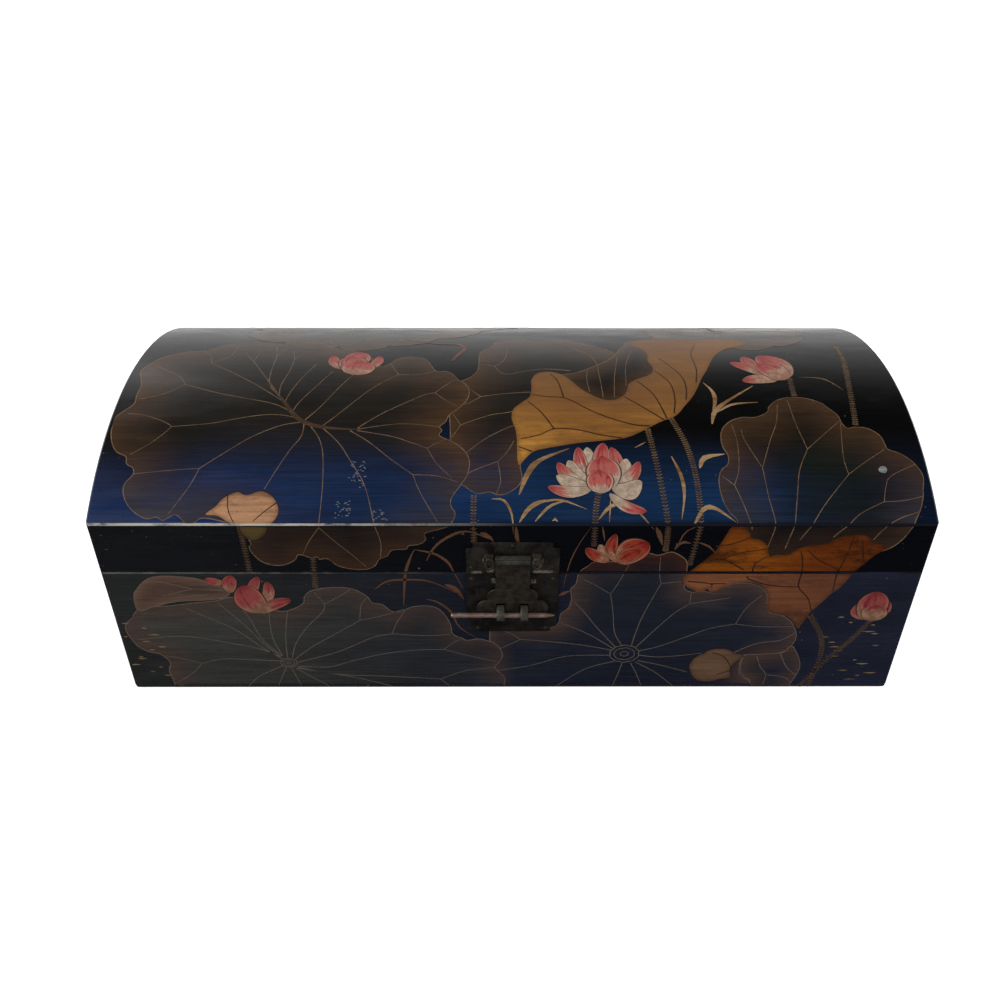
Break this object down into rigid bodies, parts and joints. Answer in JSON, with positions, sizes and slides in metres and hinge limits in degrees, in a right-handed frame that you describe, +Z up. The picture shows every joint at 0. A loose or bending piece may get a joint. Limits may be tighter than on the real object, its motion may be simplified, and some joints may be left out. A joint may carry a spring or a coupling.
{
  "type": "dome-lidded lacquer chest",
  "caption": "Low rectangular lacquered wooden chest with a domed hinged lid, a front hasp over twin staples and a tapered lock pin.",
  "frame": {"origin": "middle of the underside, where the bottom board rests on the floor", "axes": "+X along the chest's length to the right as seen from the front, +Y from the front to the back, +Z up"},
  "size_m": [0.46, 0.2568, 0.162],
  "materials": {
    "base_lacquer": "gloss dark navy lacquer over wood, with painted lotus pond decoration",
    "lid_lacquer": "gloss blue-black lacquer over wood",
    "dome_lacquer": "gloss deep blue to black lacquer over wood, with painted lotus pond decoration",
    "inner_lacquer": "satin dark red lacquer over wood",
    "bamboo": "bare bamboo",
    "plate_brass": "dark brown-olive patina",
    "hasp_brass": "dark brown patina",
    "staple_brass": "greenish grey patina",
    "pin_copper": "worn copper-pink metal",
    "hinge_brass": "dull brass",
    "nail_brass": "dull brass"
  },
  "bodies": {
    "base": {"bottom_board": "base_lacquer", "base_front_board": "base_lacquer", "base_back_board": "base_lacquer", "base_left_board": "base_lacquer", "base_right_board": "base_lacquer", "front_lip": "inner_lacquer", "back_lip": "inner_lacquer", "left_lip": "inner_lacquer", "right_lip": "inner_lacquer", "bottom_dowels": "bamboo", "base_corner_dowels": "bamboo", "base_lock_plate": "plate_brass", "base_plate_nails": "nail_brass", "left_staple": "staple_brass", "right_staple": "staple_brass", "left_hinge_base_leaf": "hinge_brass", "right_hinge_base_leaf": "hinge_brass", "left_hinge_pin": "hinge_brass", "right_hinge_pin": "hinge_brass", "hinge_base_nails": "nail_brass"},
    "lid": {"lid_front_rail": "lid_lacquer", "lid_back_rail": "lid_lacquer", "lid_left_gable": "lid_lacquer", "lid_right_gable": "lid_lacquer", "lid_dome_board": "dome_lacquer", "lid_corner_dowels": "bamboo", "dome_dowels": "bamboo", "lid_lock_plate": "plate_brass", "lid_plate_nails": "nail_brass", "left_hasp_eye": "staple_brass", "right_hasp_eye": "staple_brass", "hasp_hinge_pin": "staple_brass", "left_hinge_lid_leaf": "hinge_brass", "right_hinge_lid_leaf": "hinge_brass", "hinge_lid_nails": "nail_brass"},
    "hasp": {"hasp": "hasp_brass"},
    "lock_pin": {"lock_pin": "pin_copper"}
  },
  "joints": [
    {"name": "lid_hinge", "type": "hinge", "parent": "base", "child": "lid", "pos_m": [0, 0.1234, 0.0911], "axis": [-1, 0, 0], "range_deg": [0, 180]},
    {"name": "hasp_swing", "type": "hinge", "parent": "lid", "child": "hasp", "pos_m": [0, -0.1251, 0.1038], "axis": [-1, 0, 0], "range_deg": [0, 170]},
    {"name": "lock_pin_draw", "type": "slide", "parent": "base", "child": "lock_pin", "axis": [-1, 0, 0], "range_m": [0, 0.042]}
  ]
}
